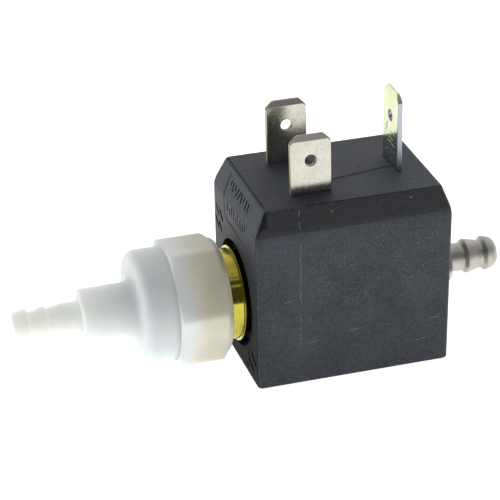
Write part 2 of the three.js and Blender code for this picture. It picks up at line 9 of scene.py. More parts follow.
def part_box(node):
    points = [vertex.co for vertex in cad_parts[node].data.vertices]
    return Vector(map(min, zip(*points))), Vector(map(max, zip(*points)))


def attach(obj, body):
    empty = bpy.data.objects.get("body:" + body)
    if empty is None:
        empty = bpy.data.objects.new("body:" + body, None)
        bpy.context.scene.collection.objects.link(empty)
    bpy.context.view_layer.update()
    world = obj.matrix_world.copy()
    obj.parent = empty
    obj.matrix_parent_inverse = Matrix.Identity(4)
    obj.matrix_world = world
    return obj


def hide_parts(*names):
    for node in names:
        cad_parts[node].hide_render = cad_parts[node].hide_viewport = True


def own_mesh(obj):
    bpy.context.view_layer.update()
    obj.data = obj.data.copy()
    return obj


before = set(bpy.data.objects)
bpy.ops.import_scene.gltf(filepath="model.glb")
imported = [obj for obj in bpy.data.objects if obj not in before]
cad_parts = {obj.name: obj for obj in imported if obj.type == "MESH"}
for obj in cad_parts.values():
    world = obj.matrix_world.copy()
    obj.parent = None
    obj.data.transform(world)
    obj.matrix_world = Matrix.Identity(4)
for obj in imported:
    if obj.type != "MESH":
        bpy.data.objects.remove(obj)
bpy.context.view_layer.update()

# An inline solenoid valve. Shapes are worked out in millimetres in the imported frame: X along the
# flow, from the plastic inlet to the steel outlet, Z up, and the coil block's underside at Z 0.
mm = 0.001


def low(node):
    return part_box(node)[0] / mm


def high(node):
    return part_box(node)[1] / mm


axisHeight = (low("fixed_core").z + high("fixed_core").z) / 2    # every turned piece is centred on it


# ---- camera, light and floor

cameraSet = {
    "azimuth": -16.74,      # degrees, 0 looks along +Y
    "elevation": 27.65,
    "roll": -0.85,
    "distance": 338.9,
    "target": (-12.85, 0, 17.863),
    "lens": 162.6,
}

roomSet = {
    "overhead": 0.5,        # how bright the room is above
    "behind": 0.95,         # and behind the block
    "turnover": (95, 140),  # degrees above the front horizon between which the one becomes the other
    "front": 0.07,          # the dark side of the room, in front
    "frontTop": 66,         # where the dark side ends
    "frontSoft": 2.5,
    "frontWidth": 0.75,
    "strips": ((44, 1.0), (60.5, 0.9)),    # two thin lamps in the dark side, degrees and half width
    "stripLight": 0.8,
    "floorGlow": 0.95,
    "floorColour": (0.8, 0.8, 0.79),
    "floorHalf": 3000,
    "floorDrop": 0.02,      # how far the floor lies below the block
}


def makeCamera(values):
    a = math.radians(values["azimuth"])
    e = math.radians(values["elevation"])
    back = Vector((math.sin(a) * math.cos(e), -math.cos(a) * math.cos(e), math.sin(e)))
    camera = bpy.data.objects.new("camera", bpy.data.cameras.new("camera"))
    bpy.context.scene.collection.objects.link(camera)
    camera.location = (Vector(values["target"]) + back * values["distance"]) * mm
    aim = Matrix.Rotation(a, 3, "Z") @ Matrix.Rotation(math.pi / 2 - e, 3, "X")
    aim = aim @ Matrix.Rotation(math.radians(values["roll"]), 3, "Z")
    camera.rotation_euler = aim.to_euler()
    camera.data.lens = values["lens"]
    camera.data.sensor_width = 36
    camera.data.clip_start = 0.01
    camera.data.clip_end = 20
    bpy.context.scene.camera = camera


# ---- shader maths

class Wire:
    # an output socket; sums on it add Math nodes, and node() adds a node of any other kind

    def __init__(self, tree, made=None, output=0):
        self.tree = tree
        self.made = made
        self.socket = made.outputs[output] if made and made.outputs else None

    def node(self, kind, settings=None, inputs=None, output=0):
        made = self.tree.nodes.new(kind)
        for name, value in (settings or {}).items():
            setattr(made, name, value)
        for key, value in (inputs or {}).items():
            if isinstance(value, Wire):
                self.tree.links.new(value.socket, made.inputs[key])
            else:
                made.inputs[key].default_value = value
        return Wire(self.tree, made, output)

    def out(self, output):
        return Wire(self.tree, self.made, output)

    def maths(self, operation, first, second=0.0):
        return self.node("ShaderNodeMath", {"operation": operation}, {0: first, 1: second})

    def __add__(self, other):
        return self.maths("ADD", self, other)

    def __radd__(self, other):
        return self.maths("ADD", other, self)

    def __sub__(self, other):
        return self.maths("SUBTRACT", self, other)

    def __rsub__(self, other):
        return self.maths("SUBTRACT", other, self)

    def __mul__(self, other):
        return self.maths("MULTIPLY", self, other)

    def __rmul__(self, other):
        return self.maths("MULTIPLY", other, self)

    def __abs__(self):
        return self.maths("ABSOLUTE", self)

    def power(self, other):
        return self.maths("POWER", self, other)

    def most(self, other):
        return self.maths("MAXIMUM", self, other)

    def least(self, other):
        return self.maths("MINIMUM", self, other)

    # 0 at the first value and 1 at the second, smoothly, whichever is the larger
    def step(self, first, second):
        inputs = {"Value": self, "From Min": first, "From Max": second}
        return self.node("ShaderNodeMapRange", {"interpolation_type": "SMOOTHSTEP"}, inputs)

    # 1 between two values, fading out over soft on each side
    def band(self, first, second, soft):
        return self.step(first - soft, first) * self.step(second + soft, second)

    # for a place across and another up: 1 on the line between two points, within half of it
    def stroke(self, up, start, end, half, soft):
        dx, dy = end[0] - start[0], end[1] - start[1]
        size = dx * dx + dy * dy
        along = ((self - start[0]) * (dx / size) + (up - start[1]) * (dy / size)).most(0).least(1)
        offX = self - start[0] - along * dx
        offY = up - start[1] - along * dy
        return (offX * offX + offY * offY).power(0.5).step(half + soft, half)

    # a colour that runs from first, where this is 0, to second, where it is 1
    def mix(self, first, second):
        ends = [end if isinstance(end, Wire) else (*end, 1) for end in (first, second)]
        return self.node("ShaderNodeMix", {"data_type": "RGBA"}, {0: self, 6: ends[0], 7: ends[1]}, 2)

    # for a place in millimetres: grain with this many waves to the millimetre
    def noise(self, scale, detail=2.0, rough=0.5, stretch=(1, 1, 1), shift=0.0):
        place = self.node("ShaderNodeVectorMath", {"operation": "MULTIPLY_ADD"},
                          {0: self, 1: stretch, 2: (shift, shift, shift)})
        inputs = {"Vector": place, "Scale": scale, "Detail": detail, "Roughness": rough}
        return self.node("ShaderNodeTexNoise", None, inputs)

    # a normal for this height, where 1 stands this many millimetres proud
    def bump(self, height, normal=None):
        inputs = {"Height": self, "Distance": height * mm}
        if normal:
            inputs["Normal"] = normal
        return self.node("ShaderNodeBump", None, inputs)


def startFinish(name):
    material = bpy.data.materials.new(name)
    material.use_nodes = True
    material.node_tree.nodes.clear()
    place = Wire(material.node_tree).node("ShaderNodeTexCoord", None, None, "Object")
    return material, place.node("ShaderNodeVectorMath", {"operation": "SCALE"}, {0: place, "Scale": 1 / mm})


def endFinish(place, colour, rough, normal, others):
    inputs = {"Base Color": colour, "Roughness": rough, **others}
    if normal:
        inputs["Normal"] = normal
    shader = place.node("ShaderNodeBsdfPrincipled", None, inputs)
    place.node("ShaderNodeOutputMaterial", None, {"Surface": shader})


def split(vector):
    parts = vector.node("ShaderNodeSeparateXYZ", None, {0: vector})
    return parts, parts.out(1), parts.out(2)


# the way the surface faces, before any bump
def faceNormal(place):
    return split(place.node("ShaderNodeNewGeometry", None, None, "True Normal"))


# how far a place lies along the flow axis, and a place made of that and its distance from the axis
def aroundAxis(place):
    x, y, z = split(place)
    up = z - axisHeight
    radius = (y * y + up * up).power(0.5)
    return x, place.node("ShaderNodeCombineXYZ", None, {0: x, 1: radius})


def makeRoom(values):
    world = bpy.data.worlds.new("room")
    world.use_nodes = True
    world.node_tree.nodes.clear()
    bpy.context.scene.world = world
    way = Wire(world.node_tree).node("ShaderNodeTexCoord", None, None, "Generated")
    x, y, z = split(way)
    angle = way.maths("ARCTAN2", z, y * -1) * (180 / math.pi)
    dark = angle.step(values["frontTop"] + values["frontSoft"], values["frontTop"] - values["frontSoft"])
    dark = dark * abs(x).step(values["frontWidth"] + 0.15, values["frontWidth"] - 0.15)
    dark = dark * (y * -1).step(-0.1, 0.1)
    bright = angle.step(*values["turnover"]) * (values["behind"] - values["overhead"]) + values["overhead"]
    glow = bright - dark * (bright - values["front"])
    for centre, half in values["strips"]:
        glow = glow + angle.band(centre - half, centre + half, 0.4) * dark * values["stripLight"]
    sky = way.node("ShaderNodeBackground", None, {"Color": (1, 1, 1, 1), "Strength": glow})
    way.node("ShaderNodeOutputWorld", None, {"Surface": sky})

    floor = bpy.data.meshes.new("floor")
    half = values["floorHalf"] * mm
    corners = [(-half, -half, 0), (half, -half, 0), (half, half, 0), (-half, half, 0)]
    floor.from_pydata(corners, [], [(0, 1, 2, 3)])
    material, place = startFinish("pale floor")
    endFinish(place, (*values["floorColour"], 1), 0.9, None, {
        "Specular IOR Level": 0.0,
        "Emission Color": (1, 1, 1, 1),
        "Emission Strength": values["floorGlow"],
    })
    floor.materials.append(material)
    ground = bpy.data.objects.new("floor", floor)
    bpy.context.scene.collection.objects.link(ground)
    ground.location.z = -values["floorDrop"] * mm


makeCamera(cameraSet)
makeRoom(roomSet)
bpy.context.scene.view_settings.view_transform = "Standard"
print("camera, room and floor made")


# ---- shaping tools

# A loop of points, each with how far its corner is cut back. A cut above 0 becomes a smooth curve.
def rounded(points, steps=5):
    loop = []
    for i, (a, b, cut) in enumerate(points):
        here = Vector((a, b))
        before = Vector(points[i - 1][:2]) - here
        after = Vector(points[(i + 1) % len(points)][:2]) - here
        size = min(cut, before.length * 0.48, after.length * 0.48)
        if size < 1e-6:
            loop.append((a, b))
            continue
        start = here + before.normalized() * size
        end = here + after.normalized() * size
        for k in range(steps + 1):
            t = k / steps
            point = start * (1 - t) ** 2 + here * 2 * t * (1 - t) + end * t ** 2
            loop.append((point.x, point.y))
    return loop


def newMesh(name, bm):
    bmesh.ops.remove_doubles(bm, verts=bm.verts, dist=1e-8)
    bmesh.ops.recalc_face_normals(bm, faces=bm.faces)
    mesh = bpy.data.meshes.new(name)
    bm.to_mesh(mesh)
    bm.free()
    return mesh


# Rings of points joined each to the next. closed joins the last to the first; otherwise both are capped.
def skin(name, rings, closed):
    bm = bmesh.new()
    made = [[bm.verts.new(Vector(point) * mm) for point in ring] for ring in rings]
    pairs = list(zip(made, made[1:])) + ([(made[-1], made[0])] if closed else [])
    for first, second in pairs:
        for i in range(len(first)):
            k = (i + 1) % len(first)
            bm.faces.new((first[i], first[k], second[k], second[i]))
    if not closed:
        bm.faces.new(made[0])
        bm.faces.new(list(reversed(made[-1])))
    return newMesh(name, bm)


# Rings round the flow axis. Each station is a place along it and a radius, or a function of the angle.
def turned(name, stations, facets=128):
    angles = [2 * math.pi * i / facets for i in range(facets)]
    rings = []
    for x, radius in stations:
        sizes = [radius(angle) if callable(radius) else radius for angle in angles]
        rings.append([(x, -r * math.sin(a), axisHeight + r * math.cos(a)) for a, r in zip(angles, sizes)])
    return skin(name, rings, True)


# A level outline with round corners, between two places along X and two across.
def levelRing(x0, x1, y0, y1, z, corner, steps=8):
    ring = []
    for cx, cy, turn in ((x1, y1, 0), (x0, y1, 90), (x0, y0, 180), (x1, y0, 270)):
        inX = cx - corner if cx == x1 else cx + corner
        inY = cy - corner if cy == y1 else cy + corner
        for i in range(steps + 1):
            a = math.radians(turn + 90 * i / steps)
            ring.append((inX + corner * math.cos(a), inY + corner * math.sin(a), z))
    return ring


def boxMesh(name, x, y, z):
    ring = [(x[0], y[0]), (x[1], y[0]), (x[1], y[1]), (x[0], y[1])]
    return skin(name, [[(a, b, level) for a, b in ring] for level in z], False)


def asObject(mesh):
    piece = bpy.data.objects.new(mesh.name, mesh)
    bpy.context.scene.collection.objects.link(piece)
    return piece


# Cuts each tool out of a mesh, or joins it on, and returns the new mesh.
def carve(mesh, tools, operation="DIFFERENCE"):
    piece = asObject(mesh)
    cutters = [asObject(tool) for tool in tools]
    for cutter in cutters:
        modifier = piece.modifiers.new("carve", "BOOLEAN")
        modifier.solver = "EXACT"
        modifier.operation = operation
        modifier.object = cutter
    bpy.context.view_layer.update()
    depsgraph = bpy.context.evaluated_depsgraph_get()
    carved = bpy.data.meshes.new_from_object(piece.evaluated_get(depsgraph))
    for spare in [piece, *cutters]:
        bpy.data.objects.remove(spare)
    return carved


# Gives a finished mesh its material and smooth shading, and puts it in place of its CAD nodes.
def show(name, mesh, finish, nodes, sharp=32):
    mesh.name = name
    mesh.materials.clear()
    mesh.materials.append(finish)
    mesh.shade_smooth()
    mesh.set_sharp_from_angle(angle=math.radians(sharp))
    piece = asObject(mesh)
    piece.name = name
    weighted = piece.modifiers.new("even shading", "WEIGHTED_NORMAL")
    weighted.keep_sharp = True
    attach(piece, "valve")
    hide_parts(*nodes)
    return piece


# ---- coil block

housingSet = {
    "corner": 0.7,
    "edge": 0.22,           # rounding of the top edges
    "footEdge": 0.45,       # and of the bottom ones
    "waistSoft": 0.9,
    "draft": 0.2,           # how much shorter the block is at the bottom, at each end
    "bandHeight": 3.8,
    "bandInlet": 1.7,
    "bandOutlet": 1.4,
    "bandSide": 1.0,
    "recess": 8.25,
    "recessDepth": 1.8,
    "recessLip": 0.05,
    "shaftBore": 4.9,
    "stemBore": 2.5,
    "coilRoom": (10.7, 8.05),       # half its length, and its radius
    "lineSlot": 24,                 # where the slots for the tabs start
    "earthSlot": 22,
    "roomPlay": 0.16,
    "slotPlay": 0.03,
    "inletCrease": (0.16, 0.4, 0.14, (-8.7, 9.6)),      # a groove in the top: from the edge, to, depth, ends
    "frontCrease": (0.14, 0.34, 0.12, (-7.5, 13.6)),
    "padLift": 0.08,        # the low pad on the top that narrows towards the earth tab
    "pad": ((-2.0, -2.9), (9.2, -1.0), (9.2, 3.8), (-2.0, 5.3)),
    "grooveWidth": 0.42,
    "grooveDepth": 0.36,
    "groove": (             # the panel outline on the inlet end, across and up
        (5.65, 28.3), (5.45, 26.8), (5.3, 25.6), (5.15, 24.6), (4.98, 23.0), (4.85, 22.2), (4.5, 21.7),
        (3.8, 21.5), (2.0, 21.55), (0.2, 21.6), (-2.1, 21.5), (-3.6, 21.45), (-5.2, 21.42),
    ),
}

housingLook = {
    "base": (0.0115, 0.0158, 0.0265),
    "pale": (0.046, 0.054, 0.071),
    "fibre": (0.3, 0.33, 0.38),
    # the darkest tone is painted shadow, laid on the front of the band and in the grooves, marks and recess
    "worn": (0.2, 0.21, 0.22),
    "black": (0.006, 0.007, 0.009),
    "rough": 0.5,
    "patch": ((-5.5, 12, 3), (14.5, 21, 3.5)),      # where the fibres show most: from, to and fade
    "knit": (-8.45, (5.5, 28)),     # the line where two flows of plastic met: across, and from and to
    "scratches": (          # on the front: from and to, across and up
        ((-11.1, 14.1), (-9.8, 14.4)),
        ((-7.1, 6.7), (-5.5, 7.0)),
        ((-0.8, 7.8), (1.2, 7.85)),
        ((4.3, 7.75), (5.9, 7.8)),
        ((9.7, 4.2), (11.3, 4.4)),
        ((12.0, 7.6), (13.7, 7.65)),
    ),
    "chips": ((-3.5, 27.8), (8.85, 28.1), (6.9, 0.3)),
}


# 1 where a place lies below the inlet end's surface, in a groove or a mark, where painted shadow goes
def sunkMask(x, y, z, values):
    end, side, top = high("coil_housing")
    floor = -end + values["recessDepth"]
    lean = (z - (top - values["bandHeight"])).most(0) * (values["bandInlet"] / values["bandHeight"])
    sunk = (x + end - lean).step(0.05, 0.2) * x.step(floor + 0.3, floor)
    return sunk * abs(y).step(side - 0.3, side - 0.4) * z.band(0.5, top - 0.3, 0.1)


# 1 along the upright edges, round the top and along the bottom
def edgeMask(x, y, z, values):
    end, side, top = high("coil_housing")
    topEnd = end - (values["bandInlet"] + values["bandOutlet"]) / 2
    topSide = side - values["bandSide"]
    upright = abs(x).step(end - 0.4, end - 0.02).least(abs(y).step(side - 0.4, side - 0.02))
    topX = abs(x + 0.15)    # so that the outlet end is worn more than the inlet end
    rim = abs(y).step(topSide - 0.3, topSide - 0.02).most(topX.step(topEnd - 0.45, topEnd - 0.03))
    foot = abs(x).step(end - 0.4, end - 0.05).most(abs(y).step(side - 0.4, side - 0.05))
    return upright.most(z.step(top - 0.2, top - 0.02).least(rim)).most(z.step(0.4, 0.05).least(foot))


# 1 on the scratches and chips that are there to see, and less on a few finer scuffs
def scuffMask(place, x, y, z, front, look):
    marks = place.noise(1.0, 1, 0.5, (0.6, 0.6, 5.0), 9.1).step(0.72, 0.76)
    marks = marks * place.noise(0.3, 1, 0.5, shift=4.4).step(0.5, 0.62) * 0.25
    for start, end in look["scratches"]:
        marks = marks.most(x.stroke(z, start, end, 0.03, 0.09) * front)
    near = low("coil_housing").y
    for cx, cz in look["chips"]:
        chip = x.stroke(z, (cx - 0.1, cz), (cx + 0.12, cz - 0.1), 0.06, 0.12)
        marks = marks.most(chip * y.step(near + 1.5, near + 1.1))
    return marks


def housingFinish(look, values):
    material, place = startFinish("slate grey moulding")
    x, y, z = split(place)
    nx, ny, nz = faceNormal(place)
    front = (ny * -1).step(0.8, 0.95)
    above = nz.step(0.9, 0.97)
    cloud = place.noise(0.16, 4, 0.6)
    mottle = place.noise(1.6, 5, 0.7, shift=3.1)
    fine = place.noise(6.0, 3, 0.6, shift=7.7)
    fibres = place.noise(5.0, 1, 0.4, (2.1, 0.9, 0.5), 1.3).step(0.58, 0.72)
    dust = place.noise(6.5, 1, 0.5, shift=8.8).step(0.66, 0.76)
    acrossPatch, upPatch = look["patch"]
    patch = x.band(*acrossPatch) * z.band(*upPatch) * place.noise(0.45, 4, 0.65, shift=5.2).step(0.4, 0.6)
    smears = place.noise(0.9, 3, 0.7, (0.5, 1.6, 0.6), 2.7).step(0.56, 0.7) * above
    fibres = fibres * (patch * 0.72 + above * 0.12 + 0.2)
    # painted light: the top faces are painted lighter, more so towards the outlet end, as if lit from above
    # and behind
    shade = cloud * 0.3 + mottle * 0.4 + fine * 0.3 + above * (x.step(-3, 6) * 0.1 + 0.015)
    # painted light and shade: every face is painted lighter towards the top and darker towards the bottom,
    # and the inlet end's faces are painted a little lighter
    shade = shade + (z - 14) * 0.0035 + smears * 0.14 + nx.step(-0.7, -0.9) * 0.03
    colour = shade.step(0.36, 0.66).mix(look["base"], look["pale"])
    colour = (fibres.most(dust * 0.5) * 0.75).mix(colour, look["fibre"])
    # the drawn-in band is smoother, and painted shade darkens it towards black where it faces the front
    top = high("coil_housing").z
    waist = top - values["bandHeight"]
    band = z.band(waist + 0.1, top - 0.2, 0.1) * (ny * -1).step(0.5, 0.9)
    colour = (band * (0.8 - fibres * 0.5)).mix(colour, look["black"])
    # painted shadow: the grooves, marks and recess in the inlet end are darkened to the same near black
    sunk = sunkMask(x, y, z, values)
    colour = sunk.mix(colour, look["black"])
    # the knit line wanders a little and is broken
    knitX, (knitFoot, knitHead) = look["knit"]
    wander = place.noise(0.45, 3, 0.6, (0, 0, 1), 2.0) - 0.5
    broken = place.noise(1.1, 3, 0.7, (0.2, 0.2, 1), 6.6).step(0.4, 0.55)
    knit = abs(x - knitX + wander * 0.6).step(0.12, 0.02)
    knit = knit * front * z.band(knitFoot, knitHead, 1.5) * broken
    colour = (knit * 0.65).mix(colour, look["worn"])
    marks = scuffMask(place, x, y, z, front, look)
    colour = (marks * mottle.step(0.34, 0.56) * 0.65).mix(colour, look["worn"])
    worn = edgeMask(x, y, z, values) * mottle.step(0.46, 0.66)      # handled edges go a little pale
    colour = (worn * 0.4).mix(colour, look["worn"])
    normal = (fine * 0.7 + mottle + fibres * 0.35 - marks * 0.5 + knit * 0.3).bump(0.1)
    rough = look["rough"] + mottle * 0.16 - fibres * 0.15 - knit * 0.08 - band * 0.12 - front * 0.06
    rough = rough + sunk * 0.5 - smears * 0.08
    endFinish(place, colour, rough, normal, {"Specular IOR Level": 0.42})
    return material


# The inlet end leans in above the waist; this is where its surface lies at a height.
def inletFace(z):
    top = high("coil_housing").z
    share = max(0, z - (top - housingSet["bandHeight"])) / housingSet["bandHeight"]
    return low("coil_housing").x + share * housingSet["bandInlet"]


# A ribbon along the panel outline, cut into the inlet end's surface, that fades out at its end.
def grooveTool(values):
    line = values["groove"]
    rings = []
    for i, (y, z) in enumerate(line):
        left = (len(line) - 1 - i) / 4
        size = min(1, 0.25 + left)
        ahead = Vector(line[min(i + 1, len(line) - 1)]) - Vector(line[max(i - 1, 0)])
        across = Vector((-ahead.y, ahead.x)).normalized() * values["grooveWidth"] / 2 * size
        deep = values["grooveDepth"] * size
        ring = []
        for way, depth in ((1.5, -1.0), (-1.5, -1.0), (-0.4, deep), (0.4, deep)):
            place = Vector((y, z)) + across * way
            ring.append((inletFace(z) + depth, place.x, place.y))
        rings.append(ring)
    return skin("groove", rings, False)


# A short stroke sunk in the inlet end's surface, from one place to another, as a tool.
def barTool(start, end, width, depth):
    start, end = Vector(start), Vector(end)
    along = (end - start).normalized()
    across = Vector((-along.y, along.x)) * width / 2
    step = along * 0.05
    rings = []
    for spot, cut in ((start - step, 0.45), (start + step, 1), (end - step, 1), (end + step, 0.45)):
        ring = []
        for side, level in ((1, -1), (-1, -1), (-0.6, depth), (0.6, depth)):
            corner = spot + across * side * cut
            ring.append((inletFace(spot.y) + level, corner.x, corner.y))
        rings.append(ring)
    return skin("bar", rings, False)


markSet = {
    "depth": 0.42,
    "width": 0.56,
    "rows": ((27.2, 1.25, 4.0, -4.8), (24.0, 1.6, 3.3, -5.5)),      # height, size, from and to across
    "gaps": (0.85, 1.25),
    "strokeScale": (1.25, 1.4),     # how much wider and deeper the strokes are cut than the rows
    "strokes": (            # bold slanted strokes near the corners: from, to, width
        ((9.5, 21.65), (8.0, 20.3), 0.6),
        ((7.6, 21.5), (6.1, 20.2), 0.8),
        ((10.1, 19.6), (8.4, 18.1), 0.7),
        ((8.1, 19.2), (6.5, 18.1), 0.8),
        ((-7.6, 4.85), (-9.8, 3.45), 0.8),
        ((-6.25, 3.05), (-8.5, 2.2), 0.8),
        ((-5.8, 4.2), (-6.5, 3.4), 0.45),
        ((-5.0, 1.75), (-6.0, 1.5), 0.45),
    ),
}


# Generic mould marks: two rows of plain bars, and a few slanted strokes.
def markTools(values):
    pick = random.Random(11)
    tools = []
    for height, size, start, end in values["rows"]:
        y = start
        while y > end:
            lean = pick.choice((-0.2, 0.0, 0.2))
            foot, head = pick.choice(((-0.5, 0.5), (-0.5, 0.5), (-0.5, 0.1), (-0.1, 0.5)))
            tools.append(barTool((y + lean, height + head * size), (y - lean, height + foot * size),
                                 values["width"], values["depth"]))
            y -= pick.uniform(*values["gaps"])
    wider, deeper = values["strokeScale"]
    for start, end, width in values["strokes"]:
        tools.append(barTool(start, end, width * wider, values["depth"] * deeper))
    return tools


# The outside of the block, drawn in above the waist. A level is a height, an inset and a share of the band.
def blockBody(values):
    lowest, highest = low("coil_housing"), high("coil_housing")
    band, edge, foot, soft = (values[name] for name in ("bandHeight", "edge", "footEdge", "waistSoft"))
    waist = highest.z - band
    quarter = [math.radians(90 * i / 4) for i in range(5)]
    levels = [(foot * (1 - math.cos(a)), foot * (1 - math.sin(a)), 0) for a in quarter]
    for i in range(9):      # the crease at the waist is a soft one
        rise = (i / 8 * 2 - 1) * soft
        levels.append((waist + rise, 0, (rise + soft) ** 2 / (4 * soft) / band))
    for a in quarter:
        drop = edge * (1 - math.sin(a))
        levels.append((highest.z - drop, edge * (1 - math.cos(a)), 1 - drop / band))
    rings = []
    for z, inset, share in levels:
        draft = values["draft"] * max(0, 1 - z / waist)
        rings.append(levelRing(
            lowest.x + inset + draft + share * values["bandInlet"],
            highest.x - inset - draft - share * values["bandOutlet"],
            lowest.y + inset + share * values["bandSide"],
            highest.y - inset - share * values["bandSide"],
            z, values["corner"] - inset * 0.5,
        ))
    return skin("block", rings, False)


def topPad(values):
    top = high("coil_housing").z
    points = [Vector(point) for point in values["pad"]]
    middle = sum(points, Vector((0, 0))) / len(points)
    rings = []
    for z, share in ((top - 1, 1), (top + values["padLift"] * 0.4, 1), (top + values["padLift"], 0.98)):
        outline = [middle + (point - middle) * share for point in points]
        rings.append([(a, b, z) for a, b in rounded([(point.x, point.y, 0.3) for point in outline])])
    return skin("pad", rings, False)


# The recess in the inlet end and the bores for what runs through the block.
def roundHollows(values):
    mouth, end = low("coil_housing").x, high("coil_housing").x
    r, lip = values["recess"], values["recessLip"]
    floor = mouth + values["recessDepth"]
    recess = turned("recess", [
        (mouth - 1, 0), (mouth - 1, r + lip * 2), (mouth - 0.01, r + lip * 1.02),
        (mouth + lip * 0.3, r + lip * 0.3), (mouth + lip, r),
        (floor - 0.15, r), (floor, r - 0.15), (floor, 0),
    ])
    shaftBore, stemBore = values["shaftBore"], values["stemBore"]
    half, radius = values["coilRoom"]
    shaft = turned("shaft", [(mouth, 0), (mouth, shaftBore), (0, shaftBore), (0, 0)], 64)
    stem = turned("stem", [(-1, 0), (-1, stemBore), (end + 1, stemBore), (end + 1, 0)], 64)
    coilRoom = turned("coil room", [(-half, 0), (-half, radius), (half, radius), (half, 0)], 64)
    return [recess, shaft, stem, coilRoom]


# A room round a CAD node, with some play. Its own height is used unless another is given.
def roomFor(node, play, height=None):
    a, b = low(node), high(node)
    height = height or (a.z - play, b.z + play)
    return boxMesh("room", (a.x - play, b.x + play), (a.y - play, b.y + play), height)


# The rooms for the yoke, the carrier and the earth tab's foot, and the slots that the tabs stand in.
def squareHollows(values):
    play, slotPlay = values["roomPlay"], values["slotPlay"]
    a, b = low("terminal_earth"), high("terminal_earth")
    tools = [roomFor("yoke_frame", play), roomFor("terminal_carrier", play)]
    tools.append(roomFor("terminal_earth", play, (a.z - 0.4, high("earth_rivet").z + play)))
    above = high("coil_housing").z + 1
    half = tabSet["rootThick"] / 2 + slotPlay
    x = b.x - tabSet["thick"] / 2
    earthSlot = (values["earthSlot"], above)
    slots = [boxMesh("slot", (x - half, x + half), (a.y - slotPlay, b.y + slotPlay), earthSlot)]
    for node in ("terminal_line", "terminal_neutral"):
        a, b, root = low(node), high(node), lineRoot(node)
        lineSlot = (values["lineSlot"], above)
        slots.append(boxMesh("slot", (a.x - slotPlay, b.x + slotPlay), (root - half, root + half), lineSlot))
    return tools + slots


# Narrow grooves along the inlet and front edges of the top.
def creaseTools(values):
    lowest, top = low("coil_housing"), high("coil_housing").z
    start, end, depth, ends = values["inletCrease"]
    edge = lowest.x + values["bandInlet"]
    inlet = boxMesh("crease", (edge + start, edge + end), ends, (top - depth, top + 1))
    start, end, depth, ends = values["frontCrease"]
    edge = lowest.y + values["bandSide"]
    return [inlet, boxMesh("crease", ends, (edge + start, edge + end), (top - depth, top + 1))]


def makeHousing(values):
    block = carve(blockBody(values), [topPad(values)], "UNION")
    block = carve(block, [*roundHollows(values), *squareHollows(values)])
    block = carve(block, [*creaseTools(values), grooveTool(values), *markTools(markSet)])
    finish = housingFinish(housingLook, values)
    show("housingShell", block, finish, ["coil_housing"], sharp=28)


# ---- blade terminals

tabSet = {
    "width": 6.3,
    "thick": 0.8,
    "rootThick": 0.7,
    "corner": 1.1,
    "edge": 0.14,           # rounding left by the press
    "taper": 0.9,
    "tipThick": 0.36,
    "hole": 0.88,
    "holeRim": 0.06,
    "lineDrop": 4.0,        # tip to hole centre
    "earthDrop": 4.3,
    "lean": 3.0,            # degrees that the line tabs lean back
    "bladeGap": 0.05,
    "rootReach": 0.06,      # how far the root reaches up into the blade
}


# where a line tab, which leans back, stands across the block
def lineRoot(node):
    return low(node).y + tabSet["thick"] / 2


tinLook = {
    "bright": (0.6, 0.59, 0.51),
    "dull": (0.5, 0.49, 0.41),
    "stain": (0.26, 0.24, 0.17),
    "taper": (0.4, 0.38, 0.36),
    "cut": (0.5, 0.47, 0.3),
    "rough": 0.13,
}
zincLook = {
    "bright": (0.67, 0.69, 0.46),
    "dull": (0.55, 0.6, 0.36),
    "pink": (0.66, 0.5, 0.62),
    "cut": (0.46, 0.5, 0.56),
    # low is a painted reflection colour, for the lower part of the broad faces
    "low": (0.42, 0.45, 0.52),
    "rough": 0.1,
    "scratches": (          # from and to, across the block and up from the hole
        ((0.5, -3.55), (-1.2, -3.65)),
        ((0.95, -4.35), (-0.3, -4.3)),
        ((-0.7, -4.3), (-2.0, -4.45)),
        ((-0.1, -2.45), (-2.0, -2.65)),
        ((1.3, -1.65), (1.9, -3.25)),
        ((0.9, -1.25), (1.3, -2.75)),
    ),
}


def tinFinish(look):
    material, place = startFinish("tinned blade")
    nx, _, nz = faceNormal(place)
    cut = abs(nx).step(0.55, 0.8)
    taper = nz.step(0.14, 0.22)
    cloud = place.noise(0.5, 4, 0.6)
    grain = place.noise(2.6, 5, 0.7, shift=2.2)
    brushed = place.noise(1.0, 3, 0.6, (9, 1, 0.8), 5.0)
    pits = place.noise(4.0, 2, 0.6, shift=8.3).step(0.64, 0.74)
    colour = (cloud * 0.45 + grain * 0.55).step(0.36, 0.64).mix(look["dull"], look["bright"])
    colour = (pits * 0.4).mix(colour, look["stain"])
    colour = taper.mix(colour, look["taper"])
    colour = cut.mix(colour, look["cut"])
    normal = (grain * 0.9 + brushed * 0.4 - pits * 0.6).bump(0.009)
    rough = grain * 0.08 + pits * 0.2 + look["rough"] + cut * 0.4 + taper * 0.4
    endFinish(place, colour, rough, normal, {"Metallic": 1.0})
    return material


